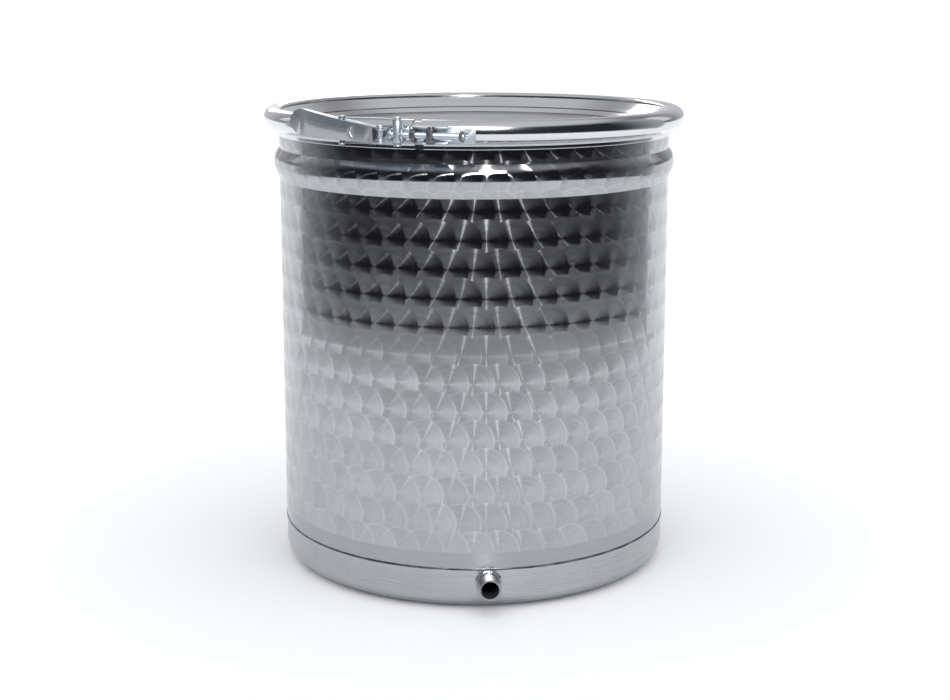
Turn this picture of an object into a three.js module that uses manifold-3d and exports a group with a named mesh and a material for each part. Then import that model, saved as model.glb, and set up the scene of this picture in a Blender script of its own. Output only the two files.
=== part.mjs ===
// Straight-sided stainless fermenting drum with a clamped lid and a bottom outlet.
// Millimetres, +Z up, origin at the centre of the standing face, outlet towards -Y.

import * as THREE from 'three';
import { mergeVertices } from 'three/addons/utils/BufferGeometryUtils.js';
import Module from 'manifold-3d';

const wasm = await Module();
wasm.setup();

// ---------------------------------------------------------------- driving sizes

const bodyRadius = 190;            // outside of the drum wall
const bodyHeight = 430;            // standing face to the centre of the rolled rim
const sheet = 0.8;                 // drum wall and lid
const roundSegments = 48;          // facets on every large round
const smallSegments = 20;          // facets on pins, screws and their holes
const fitGap = 0.3;                // between pieces that touch
const cutMargin = 5;               // how far a cutting tool runs past its work

const panHeight = 38.8;            // bottom pan, up to the seam
const panCorner = 16;              // radius between its wall and its base
const panSheet = 1;

const beadHeight = 5;              // stiffening bead below the rim, how far it stands out
const beadLower = 19;              // its long lower flank
const beadUpper = 11;              // its short upper flank
const beadBelowRim = 34;           // crest below the rim's centre

const rimRadius = 4.5;             // rolled rim of the drum
const neckGap = 0.9;               // rolled edge back to the neck
const rimOpening = 10;             // degrees more that the roll stays open

const outletBore = 16;
const outletThread = 20.96;        // G 1/2 male, major diameter
const outletCore = 18.63;          // its minor diameter
const outletPitch = 1.814;
const outletReach = 18;            // beyond the drum wall
const outletInside = 3;            // behind the outside of the wall
const outletHeight = 25.5;         // its axis above the standing face
const outletRelief = 4;            // plain length next to the wall

const clampRadius = 10.1;          // outside of the clamp ring's section
const clampSheet = 1.2;
const clampAboveRim = 6;           // section centre above the rim's centre
const clampOut = 4.5;              // section centre beyond the drum wall
const clampTopEnd = 130;           // degrees round the section, where its upper edge ends
const clampLegAngle = -45;         // degrees, where the lower leg leaves the arc
const clampSplit = 8;              // open gap between the ring's two ends
const clampSplitAt = 24;           // centre of that gap along the closure

const lidPanelDrop = 20;           // flat panel below the top of the clamp ring
const lidPanelRadius = 163;
const lidWallFoot = 173.5;         // where the sloping wall meets the step
const lidStep = 5.8;               // from that foot down to the panel
const gasketFlat = 0.4;            // gap kept over the rim and under the lid

// The closure is laid out in its own frame: "along" is tangent to the ring, towards
// the catch, and "out" is the distance from the drum's axis.
const closureTurn = -25;           // degrees from the outlet to the closure's frame
const closureHeightAboveRim = 4;   // middle of the closure above the rim's centre
const linkLine = 5.9;              // screw axis beyond the clamp ring
const leverPivotOut = 8;           // lever pivot beyond the screw axis
const leverPivotAlong = -2;
const leverArm = 39.8;             // lever pivot to link pivot, along
const pinRadius = 2.5;
const pinHeadRadius = 3.5;
const pinHead = 1;
const plateSheet = 1.2;            // lever and link plates
const bracketSheet = 1.5;          // both brackets

const leverHingeHeight = 14.3;     // height of the lever at its hinge
const leverTopRise = 0.1395;       // how its top edge climbs towards the grip
const leverFootRise = 0.038;       // how its lower edge climbs
const leverWebStart = 2.1;         // degrees from the closure's frame to the lever's web
const leverGripSweep = 13.8;       // degrees of grip beyond the link pivot
const leverHingeDepth = 18;        // web beyond the clamp ring, at the hinge
const leverGripDepth = 9;          // the same at the grip
const leverPinRoom = 1.1;          // link pivot to the inside of the web
const tabBend = 19;                // degrees that the grip's tab is bent outwards
const ribWidth = 4.5;
const ribHeight = 0.8;
const ribStart = 7.5;              // degrees, as the web's
const ribMargin = 2;               // degrees from the rib to the end of the web
const ribTailWidth = 9;            // the flared end next to the hinge
const ribTailLength = 7;

const linkPlateWidth = 6.4;
const crossbarAlong = 10.7;
const crossbarRadius = 4.4;
const crossbarNeck = 2.5;
const screwRadius = 3;
const screwEnd = 72.5;
const screwHeadRadius = 4.6;
const screwHeadLength = 2.6;
const washerRadius = 6;
const washerSheet = 1.6;
const nutWidth = 10;               // across flats
const nutLength = 5;
const nutAlong = 25.8;
const endNutWidth = 8;
const endNutLength = 3;

const hookBarAlong = 41.9;
const hookBarWidth = 5.5;
const hookBarDepth = 9;
const hookPlay = 0.9;              // seat to hook, on the side that the screw pulls
const catchHeight = 15.2;
const catchStart = 8;              // degrees, start of its tongues
const catchTongueEnd = 15;
const catchBaseEnd = 21.4;
const catchTongueOut = 11;         // how far its tongues stand beyond the clamp ring
const sealSlotLength = 5;
const sealSlotWidth = 3;
const sealSlotAngle = 18.8;

const bracketStart = -7.4;         // degrees, ends of the lever bracket's base
const bracketEnd = 0.5;
const earStart = -2.2;             // degrees, where its ears leave the base
const earRadius = 4;

// ------------------------------------------------------------- derived positions

const panTop = panHeight;
const shellFoot = panHeight + fitGap;
const rimHeight = bodyHeight;
const rimCentre = bodyRadius - sheet + rimRadius;
const beadCrest = rimHeight - beadBelowRim;
const clampCentreR = bodyRadius + clampOut;
const clampCentreZ = rimHeight + clampAboveRim;
const clampOuter = clampCentreR + clampRadius;
const clampTop = clampCentreZ + clampRadius;
const closureZ = rimHeight + closureHeightAboveRim;
const screwOut = clampOuter + linkLine;
const leverPivot = { along: leverPivotAlong, out: screwOut + leverPivotOut };
const linkPivot = { along: leverPivotAlong - leverArm, out: screwOut };
const leverHalf = leverHingeHeight / 2;
const earHalf = leverHalf - plateSheet - 2 * fitGap;

const linkPivotR = Math.hypot(linkPivot.along, linkPivot.out);
const linkPivotAngle = Math.atan2(-linkPivot.along, linkPivot.out) * (180 / Math.PI);
const leverWebEnd = linkPivotAngle + leverGripSweep;
const leverWebR = clampOuter + leverHingeDepth;
const webStartAlong = -leverWebR * Math.sin((leverWebStart * Math.PI) / 180);

// Lower and upper edge of the lever: level at the hinge, then climbing towards the grip.
const leverFoot = along => closureZ - leverHalf - leverFootRise * Math.min(0, along - webStartAlong);
const leverTop = along => closureZ + leverHalf - leverTopRise * Math.min(0, along - webStartAlong);
const plateSpan = linkPlateWidth / 2;
const upperPlateZ = leverTop(linkPivot.along - plateSpan) + fitGap;
const lowerPlateZ = closureZ - leverHalf - fitGap - plateSheet;

// ------------------------------------------------------------------------ tools

const { degToRad } = THREE.MathUtils;

function point(radius, degrees) {
  return new THREE.Vector2(radius * Math.sin(degToRad(degrees)), -radius * Math.cos(degToRad(degrees)));
}

function arcPoints(x, y, radius, fromDegrees, toDegrees, steps) {
  return Array.from({ length: steps + 1 }, (_, i) => {
    const angle = degToRad(fromDegrees + ((toDegrees - fromDegrees) * i) / steps);
    return new THREE.Vector2(x + radius * Math.cos(angle), y + radius * Math.sin(angle));
  });
}

// Points on a curve round the drum's axis: radiusAt gives the radius at each angle.
function sweepPoints(radiusAt, fromDegrees, toDegrees, steps) {
  return Array.from({ length: steps + 1 }, (_, i) => {
    const angle = fromDegrees + ((toDegrees - fromDegrees) * i) / steps;
    return point(radiusAt(angle), angle);
  });
}

function solidOf(geometry) {
  const bare = geometry.clone();
  bare.deleteAttribute('normal');
  bare.deleteAttribute('uv');
  const merged = mergeVertices(bare, 1e-4);
  const index = Array.from(merged.index.array);
  const kept = [];
  for (let i = 0; i < index.length; i += 3) {
    const [a, b, c] = index.slice(i, i + 3);
    if (a !== b && b !== c && c !== a) kept.push(a, b, c);
  }
  return new wasm.Manifold(new wasm.Mesh({
    numProp: 3,
    vertProperties: new Float32Array(merged.attributes.position.array),
    triVerts: new Uint32Array(kept),
  }));
}

function geometryOf(solid) {
  const mesh = solid.getMesh();
  const geometry = new THREE.BufferGeometry();
  geometry.setAttribute('position', new THREE.BufferAttribute(mesh.vertProperties, 3));
  geometry.setIndex(new THREE.BufferAttribute(mesh.triVerts, 1));
  geometry.computeVertexNormals();
  return geometry;
}

// A closed outline of (radius, height) points, turned round the Z axis.
function turned(outline, segments) {
  const loop = THREE.ShapeUtils.area(outline) > 0 ? outline : outline.slice().reverse();
  const geometry = new THREE.LatheGeometry([...loop, loop[0]], segments);
  return solidOf(geometry.rotateX(Math.PI / 2));
}

function plate(outline, lowZ, highZ) {
  const shape = new THREE.Shape(outline);
  const geometry = new THREE.ExtrudeGeometry(shape, { depth: highZ - lowZ, bevelEnabled: false });
  return solidOf(geometry.translate(0, 0, lowZ));
}

// An outline in (along, height), pushed through the closure from outNear to outFar.
function sidePrism(outline, outNear, outFar) {
  const shape = new THREE.Shape(outline);
  const geometry = new THREE.ExtrudeGeometry(shape, { depth: outFar - outNear, bevelEnabled: false });
  return solidOf(geometry.rotateX(Math.PI / 2).translate(0, -outNear, 0));
}

function upright(radius, along, out, lowZ, highZ) {
  const geometry = new THREE.CylinderGeometry(radius, radius, highZ - lowZ, smallSegments);
  geometry.rotateX(Math.PI / 2).translate(along, -out, (lowZ + highZ) / 2);
  return solidOf(geometry);
}

function lengthwise(radius, fromAlong, toAlong, sides = smallSegments) {
  const geometry = new THREE.CylinderGeometry(radius, radius, toAlong - fromAlong, sides);
  geometry.rotateZ(Math.PI / 2).translate((fromAlong + toAlong) / 2, -screwOut, closureZ);
  return solidOf(geometry);
}

function block(width, depth, along, out, lowZ, highZ) {
  const geometry = new THREE.BoxGeometry(width, depth, highZ - lowZ);
  return solidOf(geometry.translate(along, -out, (lowZ + highZ) / 2));
}

function steel(color, roughness) {
  return new THREE.MeshStandardMaterial({ color, roughness, metalness: 1 });
}

const swirledSteel = steel(0xb6bac2, 0.32);
const plainSteel = steel(0xa9adb5, 0.28);
const polishedSteel = steel(0xcdd1d6, 0.16);
const platedSteel = steel(0x9fb0bb, 0.3);
const darkPlated = steel(0x4d545c, 0.45);
const softRubber = new THREE.MeshStandardMaterial({ color: 0xd8d6d0, roughness: 0.8, metalness: 0 });

const drumGroup = new THREE.Group();
const closureGroup = new THREE.Group();
closureGroup.rotation.z = degToRad(closureTurn);
drumGroup.add(closureGroup);

function addPiece(group, name, solid, material) {
  const mesh = new THREE.Mesh(geometryOf(solid), material);
  mesh.name = name;
  group.add(mesh);
}

// ------------------------------------------------------------------------- drum

// The bead is two sine flanks that meet at its crest.
function beadOffset(height) {
  const flank = height < beadCrest ? beadLower : beadUpper;
  const share = 1 - Math.abs(height - beadCrest) / flank;
  return share > 0 ? beadHeight * Math.sin((share * Math.PI) / 2) : 0;
}

function shellWall(radius) {
  const low = beadCrest - beadLower;
  const high = beadCrest + beadUpper;
  const heights = [shellFoot];
  for (let i = 0; i <= 4; i += 1) heights.push(low + (beadLower * i) / 4);
  for (let i = 1; i <= 3; i += 1) heights.push(beadCrest + ((high - beadCrest) * i) / 3);
  heights.push(rimHeight);
  return heights.map(height => new THREE.Vector2(radius + beadOffset(height), height));
}

// The rim is the wall rolled outwards and down, with its edge just short of the neck.
function drumShell() {
  const closing = (360 / Math.PI) * Math.asin((neckGap + sheet) / (2 * rimRadius));
  const edge = -180 + closing + rimOpening;
  const rollOutside = arcPoints(rimCentre, rimHeight, rimRadius, 180, edge, 10);
  const rollInside = arcPoints(rimCentre, rimHeight, rimRadius - sheet, edge, 180, 8);
  const outside = shellWall(bodyRadius).reverse();
  const inside = shellWall(bodyRadius - sheet);
  const outline = [...inside.slice(0, -1), ...rollOutside, ...rollInside, ...outside.slice(1)];
  return turned(outline, roundSegments);
}

function bottomPan() {
  const cornerR = bodyRadius - panCorner;
  const outline = [
    new THREE.Vector2(0, 0),
    ...arcPoints(cornerR, panCorner, panCorner, -90, 0, 5),
    new THREE.Vector2(bodyRadius, panTop),
    new THREE.Vector2(bodyRadius - panSheet, panTop),
    ...arcPoints(cornerR, panCorner, panCorner - panSheet, 0, -90, 5),
    new THREE.Vector2(0, panSheet),
  ];
  const hole = new THREE.CylinderGeometry(
    outletThread / 2 + fitGap, outletThread / 2 + fitGap, 2 * panCorner, 2 * smallSegments);
  return turned(outline, roundSegments)
    .subtract(solidOf(hole.translate(0, -bodyRadius, outletHeight)));
}

// The outlet's thread is drawn as rings of the right pitch and depth.
function outletNipple() {
  const start = -(bodyRadius - outletInside);
  const tip = -(bodyRadius + outletReach);
  const crest = outletThread / 2;
  const root = outletCore / 2;
  const threadStart = -(bodyRadius + outletRelief);
  const turns = Math.floor((threadStart - tip) / outletPitch);
  const outline = [new THREE.Vector2(outletBore / 2, start), new THREE.Vector2(crest, start)];
  for (let i = 0; i < turns; i += 1) {
    const y = threadStart - i * outletPitch;
    outline.push(new THREE.Vector2(crest, y), new THREE.Vector2(root, y - outletPitch / 2));
  }
  outline.push(new THREE.Vector2(crest, threadStart - turns * outletPitch));
  outline.push(new THREE.Vector2(root, tip), new THREE.Vector2(outletBore / 2, tip));
  const loop = THREE.ShapeUtils.area(outline) > 0 ? outline : outline.slice().reverse();
  const geometry = new THREE.LatheGeometry([...loop, loop[0]], 2 * smallSegments);
  return solidOf(geometry.translate(0, 0, outletHeight));
}

addPiece(drumGroup, 'drum_shell', drumShell(), swirledSteel);
addPiece(drumGroup, 'bottom_pan', bottomPan(), plainSteel);
addPiece(drumGroup, 'outlet_nipple', outletNipple(), plainSteel);

// ---------------------------------------------------------------- lid and gasket

const lidArch = clampRadius - clampSheet - fitGap;
const panelTop = clampTop - lidPanelDrop;

function lid() {
  const wallFootZ = panelTop + lidStep;
  const outline = [
    ...arcPoints(clampCentreR, clampCentreZ, lidArch, 0, clampTopEnd, 8),
    new THREE.Vector2(lidWallFoot, wallFootZ),
    new THREE.Vector2(lidPanelRadius + sheet, panelTop),
    new THREE.Vector2(0, panelTop),
    new THREE.Vector2(0, panelTop - sheet),
    new THREE.Vector2(lidPanelRadius, panelTop - sheet),
    new THREE.Vector2(lidWallFoot + sheet / 2, wallFootZ - sheet),
    ...arcPoints(clampCentreR, clampCentreZ, lidArch - sheet, clampTopEnd, 0, 8),
  ];
  return turned(outline, roundSegments);
}

// Squeezed between the arch of the lid and the top of the rolled rim.
function lidGasket() {
  const foot = rimHeight + rimRadius + gasketFlat;
  const radius = lidArch - sheet - gasketFlat;
  const lowAngle = (180 / Math.PI) * Math.asin((foot - clampCentreZ) / radius);
  const outline = arcPoints(clampCentreR, clampCentreZ, radius, lowAngle, clampTopEnd, 7);
  outline.push(new THREE.Vector2(rimCentre - rimRadius, foot));
  return turned(outline, roundSegments);
}

addPiece(drumGroup, 'lid', lid(), polishedSteel);
addPiece(drumGroup, 'lid_gasket', lidGasket(), softRubber);

// ------------------------------------------------------------------- clamp ring

// Angles in the closure's frame of a place given by its distance along the ring.
const splitAngle = along => (180 / Math.PI) * Math.asin(along / clampOuter);

function clampRing() {
  const legDirection = clampLegAngle - 90;
  const lipR = bodyRadius + fitGap + clampSheet;
  const legStart = clampCentreR + clampRadius * Math.cos(degToRad(clampLegAngle));
  const legLength = (legStart - lipR) / -Math.cos(degToRad(legDirection));
  const onLeg = (radius, distance) => new THREE.Vector2(clampCentreR, clampCentreZ)
    .add(point(radius, clampLegAngle + 90))
    .add(point(distance, legDirection + 90));
  const outline = [
    onLeg(clampRadius, legLength),
    ...arcPoints(clampCentreR, clampCentreZ, clampRadius, clampLegAngle, clampTopEnd, 10),
    ...arcPoints(clampCentreR, clampCentreZ, clampRadius - clampSheet, clampTopEnd, clampLegAngle, 9),
    onLeg(clampRadius - clampSheet, legLength),
  ];
  const from = closureTurn + splitAngle(clampSplitAt - clampSplit / 2);
  const to = closureTurn + splitAngle(clampSplitAt + clampSplit / 2);
  const wedge = [
    point(bodyRadius - 4 * cutMargin, from),
    point(clampOuter + cutMargin, from),
    point(clampOuter + cutMargin, to),
    point(bodyRadius - 4 * cutMargin, to),
  ];
  const cut = plate(wedge, rimHeight - 5 * cutMargin, clampTop + cutMargin);
  return turned(outline, roundSegments).subtract(cut);
}

addPiece(drumGroup, 'clamp_ring', clampRing(), polishedSteel);

// --------------------------------------------------------- brackets on the ring

const baseInner = clampOuter + fitGap;
const baseOuter = baseInner + bracketSheet;
const leverInner = baseOuter + fitGap;

function curvedBase(fromDegrees, toDegrees, half) {
  const steps = Math.ceil((toDegrees - fromDegrees) / 3);
  const outline = [
    ...sweepPoints(() => baseOuter, fromDegrees, toDegrees, steps),
    ...sweepPoints(() => baseInner, toDegrees, fromDegrees, steps),
  ];
  return plate(outline, closureZ - half, closureZ + half);
}

// A U of sheet welded to the ring; its two ears carry the lever's pivot.
function leverBracket() {
  const ear = [
    ...sweepPoints(() => baseInner, bracketEnd, earStart, 2),
    ...arcPoints(leverPivot.along, -leverPivot.out, earRadius, 180, 360, 8),
  ];
  const ears = [
    plate(ear, closureZ - earHalf, closureZ - earHalf + bracketSheet),
    plate(ear, closureZ + earHalf - bracketSheet, closureZ + earHalf),
  ];
  const hole = upright(pinRadius + fitGap, leverPivot.along, leverPivot.out,
    closureZ - earHalf - cutMargin, closureZ + earHalf + cutMargin);
  return curvedBase(bracketStart, bracketEnd, earHalf).add(ears[0]).add(ears[1]).subtract(hole);
}

// Two hooked tongues take the ends of the hook bar; the base carries a seal slot.
function catchBracket() {
  const half = catchHeight / 2;
  const tongueOut = clampOuter + catchTongueOut;
  const nose = point(clampOuter + catchTongueOut / 2, catchStart);
  const turn = catchStart;
  const tongue = [
    ...sweepPoints(() => baseInner, catchTongueEnd, catchStart, 3),
    ...arcPoints(nose.x, nose.y, catchTongueOut / 2 - fitGap, 90 + turn, 270 + turn, 8),
    ...sweepPoints(() => tongueOut - fitGap, catchStart, catchTongueEnd, 3),
  ];
  const slotLeft = hookBarAlong - pinRadius - hookPlay;
  const slotRight = hookBarAlong + pinRadius + fitGap;
  const slotFloor = screwOut - pinRadius - fitGap;
  const slot = block(slotRight - slotLeft, 2 * catchTongueOut, (slotLeft + slotRight) / 2,
    slotFloor + catchTongueOut, closureZ - catchHeight, closureZ + catchHeight);
  const sealSlot = block(sealSlotLength, 2 * cutMargin, point(baseOuter, sealSlotAngle).x,
    -point(baseOuter, sealSlotAngle).y, closureZ - sealSlotWidth / 2, closureZ + sealSlotWidth / 2);
  const tongues = plate(tongue, closureZ - half, closureZ - half + bracketSheet)
    .add(plate(tongue, closureZ + half - bracketSheet, closureZ + half));
  return curvedBase(catchStart + 1, catchBaseEnd, half).add(tongues.subtract(slot)).subtract(sealSlot);
}

addPiece(closureGroup, 'lever_bracket', leverBracket(), platedSteel);
addPiece(closureGroup, 'catch_bracket', catchBracket(), platedSteel);

// ------------------------------------------------------------------------ lever

// The web runs straight from the hinge to the link pivot, and from there to the grip.
function webRadius(degrees) {
  const pivotR = linkPivotR + pinRadius + leverPinRoom + plateSheet;
  const gripR = clampOuter + leverGripDepth;
  if (-degrees < linkPivotAngle) {
    const share = (-degrees - leverWebStart) / (linkPivotAngle - leverWebStart);
    return leverWebR + (pivotR - leverWebR) * share;
  }
  return pivotR + ((gripR - pivotR) * (-degrees - linkPivotAngle)) / leverGripSweep;
}

// A band that follows the web, from its own radius plus one offset to the next.
function webBand(innerOffset, outerOffset, fromDegrees, toDegrees, steps) {
  return [
    ...sweepPoints(angle => webRadius(angle) + outerOffset, -fromDegrees, -toDegrees, steps),
    ...sweepPoints(angle => webRadius(angle) + innerOffset, -toDegrees, -fromDegrees, steps),
  ];
}

function leverSide(inset, fromAlong, toAlong) {
  const outline = [
    [fromAlong, leverFoot(fromAlong) + inset],
    [webStartAlong, leverFoot(webStartAlong) + inset],
    [toAlong, leverFoot(toAlong) + inset],
    [toAlong, leverTop(toAlong) - inset],
    [webStartAlong, leverTop(webStartAlong) - inset],
    [fromAlong, leverTop(fromAlong) - inset],
  ];
  return sidePrism(outline.map(([x, y]) => new THREE.Vector2(x, y)), 0, 2 * bodyRadius);
}

function leverTab() {
  const end = point(webRadius(-leverWebEnd) - plateSheet / 2, -leverWebEnd);
  const lowZ = leverFoot(end.x);
  const highZ = leverTop(end.x);
  const radius = (highZ - lowZ) / 2;
  const outline = [
    ...arcPoints(0, 0, radius, 90, 270, 12),
    new THREE.Vector2(plateSheet, -radius),
    new THREE.Vector2(plateSheet, radius),
  ];
  const shape = new THREE.Shape(outline);
  const geometry = new THREE.ExtrudeGeometry(shape, { depth: plateSheet, bevelEnabled: false });
  geometry.translate(0, 0, -plateSheet / 2);
  geometry.rotateX(Math.PI / 2);
  geometry.rotateZ(degToRad(tabBend - leverWebEnd));
  return solidOf(geometry.translate(end.x, end.y, (lowZ + highZ) / 2));
}

function leverRib() {
  const middle = along => (leverFoot(along) + leverTop(along)) / 2;
  const at = degrees => point(webRadius(-degrees), -degrees).x;
  const start = at(ribStart);
  const end = at(leverWebEnd - ribMargin);
  const outline = [
    [end, middle(end) - ribWidth / 2],
    [start - ribTailLength, middle(start) - ribWidth / 2],
    [start, middle(start) - ribTailWidth / 2],
    [start - ribTailLength / 3, middle(start)],
    [start, middle(start) + ribTailWidth / 2],
    [start - ribTailLength, middle(start) + ribWidth / 2],
    [end, middle(end) + ribWidth / 2],
  ];
  const side = sidePrism(outline.map(([x, y]) => new THREE.Vector2(x, y)), 0, 2 * bodyRadius);
  const band = plate(webBand(-plateSheet / 2, ribHeight, ribStart - 2, leverWebEnd - 1, 8),
    closureZ - bodyRadius, closureZ + bodyRadius);
  return band.intersect(side);
}

function leverHandle() {
  const far = point(webRadius(-leverWebEnd), -leverWebEnd).x - cutMargin;
  const flange = [
    ...sweepPoints(webRadius, -leverWebStart, -leverWebEnd, 10),
    ...sweepPoints(() => leverInner, -leverWebEnd, -leverWebStart, 10),
    ...arcPoints(leverPivot.along, -leverPivot.out, earRadius + fitGap, 90, -90, 8),
  ];
  const hollow = [
    ...sweepPoints(angle => webRadius(angle) - plateSheet, -leverWebStart, -leverWebEnd - 2, 10),
    ...sweepPoints(() => leverInner - cutMargin, -leverWebEnd - 2, -leverWebStart, 10),
  ];
  const open = block(4 * cutMargin, 8 * cutMargin, webStartAlong + 2 * cutMargin, leverPivot.out,
    closureZ - bodyRadius, closureZ + bodyRadius);
  const inside = plate(hollow, closureZ - bodyRadius, closureZ + bodyRadius).add(open)
    .intersect(leverSide(plateSheet, far - cutMargin, 8 * cutMargin));
  const channel = plate(flange, closureZ - bodyRadius, closureZ + bodyRadius)
    .intersect(leverSide(0, far, 4 * cutMargin))
    .subtract(inside);
  const holes = [leverPivot, linkPivot].map(pivot => upright(pinRadius + fitGap, pivot.along, pivot.out,
    closureZ - 2 * leverHingeHeight, closureZ + 2 * leverHingeHeight));
  return channel.subtract(holes[0]).subtract(holes[1]).add(leverTab()).add(leverRib());
}

function headedPin(pivot, lowZ, highZ, lowHead) {
  const { along, out } = pivot;
  const head = upright(pinHeadRadius, along, out, highZ, highZ + pinHead);
  const pin = upright(pinRadius, along, out, lowZ, highZ + pinHead / 2).add(head);
  return lowHead ? pin.add(upright(pinHeadRadius, along, out, lowZ - pinHead, lowZ)) : pin;
}

addPiece(closureGroup, 'lever_handle', leverHandle(), platedSteel);
addPiece(closureGroup, 'lever_pivot_pin',
  headedPin(leverPivot, closureZ - leverHalf, closureZ + leverHalf + fitGap, false), platedSteel);
addPiece(closureGroup, 'link_pivot_pin', headedPin(linkPivot, lowerPlateZ - fitGap,
  upperPlateZ + plateSheet + fitGap, true), platedSteel);

// ------------------------------------------------------------------------- link

function linkPlate(lowZ) {
  const outline = [
    ...arcPoints(linkPivot.along, -screwOut, plateSpan, 90, 270, 8),
    ...arcPoints(crossbarAlong, -screwOut, plateSpan, -90, 90, 8),
  ];
  const holes = [
    upright(pinRadius + fitGap, linkPivot.along, screwOut, lowZ - cutMargin, lowZ + cutMargin),
    upright(crossbarNeck + fitGap, crossbarAlong, screwOut, lowZ - cutMargin, lowZ + cutMargin),
  ];
  return plate(outline, lowZ, lowZ + plateSheet).subtract(holes[0]).subtract(holes[1]);
}

// A turned bar between the link plates, drilled across for the screw.
function linkCrossbar() {
  const low = lowerPlateZ - fitGap;
  const high = upperPlateZ + plateSheet + fitGap;
  const shoulderLow = lowerPlateZ + plateSheet + fitGap;
  const shoulderHigh = upperPlateZ - fitGap;
  const across = 2 * crossbarRadius;
  return upright(crossbarRadius, crossbarAlong, screwOut, shoulderLow, shoulderHigh)
    .add(upright(crossbarNeck, crossbarAlong, screwOut, low, high))
    .add(upright(pinHeadRadius, crossbarAlong, screwOut, low - pinHead, low))
    .add(upright(pinHeadRadius, crossbarAlong, screwOut, high, high + pinHead))
    .subtract(lengthwise(screwRadius + fitGap, crossbarAlong - across, crossbarAlong + across));
}

function adjustingScrew() {
  const headEnd = crossbarAlong - crossbarRadius - fitGap;
  return lengthwise(screwRadius, headEnd - screwHeadLength / 2, screwEnd)
    .add(lengthwise(screwHeadRadius, headEnd - screwHeadLength, headEnd));
}

function hexNut(width, length, fromAlong) {
  return lengthwise(width / Math.sqrt(3), fromAlong, fromAlong + length, 6)
    .subtract(lengthwise(screwRadius + fitGap, fromAlong - cutMargin, fromAlong + length + cutMargin));
}

function screwWasher() {
  const from = crossbarAlong + crossbarRadius + fitGap;
  return lengthwise(washerRadius, from, from + washerSheet)
    .subtract(lengthwise(screwRadius + fitGap, from - cutMargin, from + cutMargin));
}

// A flat bar across the screw, with a round journal at each end for the catch's hooks.
function hookBar() {
  const reach = catchHeight / 2;
  const shoulder = reach - bracketSheet - fitGap;
  return block(hookBarWidth, hookBarDepth, hookBarAlong, screwOut, closureZ - shoulder, closureZ + shoulder)
    .add(upright(pinRadius, hookBarAlong, screwOut, closureZ - reach, closureZ + reach))
    .subtract(lengthwise(screwRadius + fitGap, hookBarAlong - hookBarWidth, hookBarAlong + hookBarWidth));
}

addPiece(closureGroup, 'upper_link_plate', linkPlate(upperPlateZ), platedSteel);
addPiece(closureGroup, 'lower_link_plate', linkPlate(lowerPlateZ), platedSteel);
addPiece(closureGroup, 'link_crossbar', linkCrossbar(), platedSteel);
addPiece(closureGroup, 'adjusting_screw', adjustingScrew(), platedSteel);
addPiece(closureGroup, 'screw_washer', screwWasher(), platedSteel);
addPiece(closureGroup, 'lock_nut', hexNut(nutWidth, nutLength, nutAlong - nutLength / 2), darkPlated);
addPiece(closureGroup, 'hook_bar', hookBar(), darkPlated);
addPiece(closureGroup, 'end_nut', hexNut(endNutWidth, endNutLength, screwEnd - endNutLength - 1), darkPlated);

export default drumGroup;
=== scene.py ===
import math
import bmesh
import bpy
from mathutils import Matrix, Vector, noise


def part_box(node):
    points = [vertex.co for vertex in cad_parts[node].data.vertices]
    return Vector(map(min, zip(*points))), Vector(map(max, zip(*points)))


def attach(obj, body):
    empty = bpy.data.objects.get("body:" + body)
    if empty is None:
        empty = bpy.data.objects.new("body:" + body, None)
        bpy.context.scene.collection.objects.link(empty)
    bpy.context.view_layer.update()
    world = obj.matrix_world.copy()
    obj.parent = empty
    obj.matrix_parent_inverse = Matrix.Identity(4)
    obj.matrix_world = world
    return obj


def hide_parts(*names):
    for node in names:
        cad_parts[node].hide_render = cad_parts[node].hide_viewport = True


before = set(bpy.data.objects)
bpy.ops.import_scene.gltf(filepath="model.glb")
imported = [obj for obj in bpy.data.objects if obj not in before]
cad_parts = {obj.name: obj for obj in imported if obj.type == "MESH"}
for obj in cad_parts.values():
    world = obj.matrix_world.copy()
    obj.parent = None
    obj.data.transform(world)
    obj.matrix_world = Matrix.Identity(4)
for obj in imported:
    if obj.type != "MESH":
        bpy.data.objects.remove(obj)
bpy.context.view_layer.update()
print("frame loaded")

mm = 0.001
fullTurn = 2 * math.pi
roundSteps = 240  # round the drum, the lid and the ring
smallSteps = 40  # round the outlet; its thread and its weld take a multiple

# sizes that several pieces share
rimRadius = 4.5 * mm  # of the roll at the drum's rim
lidSheet = 0.8 * mm
gasketAboveRim = 4.9 * mm  # its foot above the roll's centre
seamGap = 0.1 * mm  # on each side of the seam

# places that the frame gives
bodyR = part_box("bottom_pan")[1].x
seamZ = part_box("bottom_pan")[1].z
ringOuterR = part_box("clamp_ring")[1].x
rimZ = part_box("lid_gasket")[0].z - gasketAboveRim
outletZ = (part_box("outlet_nipple")[0].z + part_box("outlet_nipple")[1].z) / 2
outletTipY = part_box("outlet_nipple")[0].y
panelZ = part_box("lid")[0].z + lidSheet


# nodes and materials

def fill(tree, socket, value):
    if isinstance(value, bpy.types.NodeSocket):
        tree.links.new(value, socket)
    else:
        socket.default_value = value


def addNode(tree, kind, inputs=None, **settings):
    made = tree.nodes.new("ShaderNode" + kind)
    for key, value in settings.items():
        setattr(made, key, value)
    for key, value in (inputs or {}).items():
        fill(tree, made.inputs[key], value)
    return made


def calc(tree, operation, *values):
    made = addNode(tree, "Math", operation=operation)
    for socket, value in zip(made.inputs, values):
        fill(tree, socket, value)
    return made.outputs[0]


def choose(tree, test, ifNot, ifSo):
    made = addNode(tree, "Mix", data_type="FLOAT")
    for index, value in ((0, test), (2, ifNot), (3, ifSo)):
        fill(tree, made.inputs[index], value)
    return made.outputs[0]


def mixColour(tree, share, first, second, mode="MIX"):
    made = addNode(tree, "Mix", data_type="RGBA", blend_type=mode)
    for index, value in ((0, share), (6, first), (7, second)):
        fill(tree, made.inputs[index], value)
    return made.outputs[2]


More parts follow.
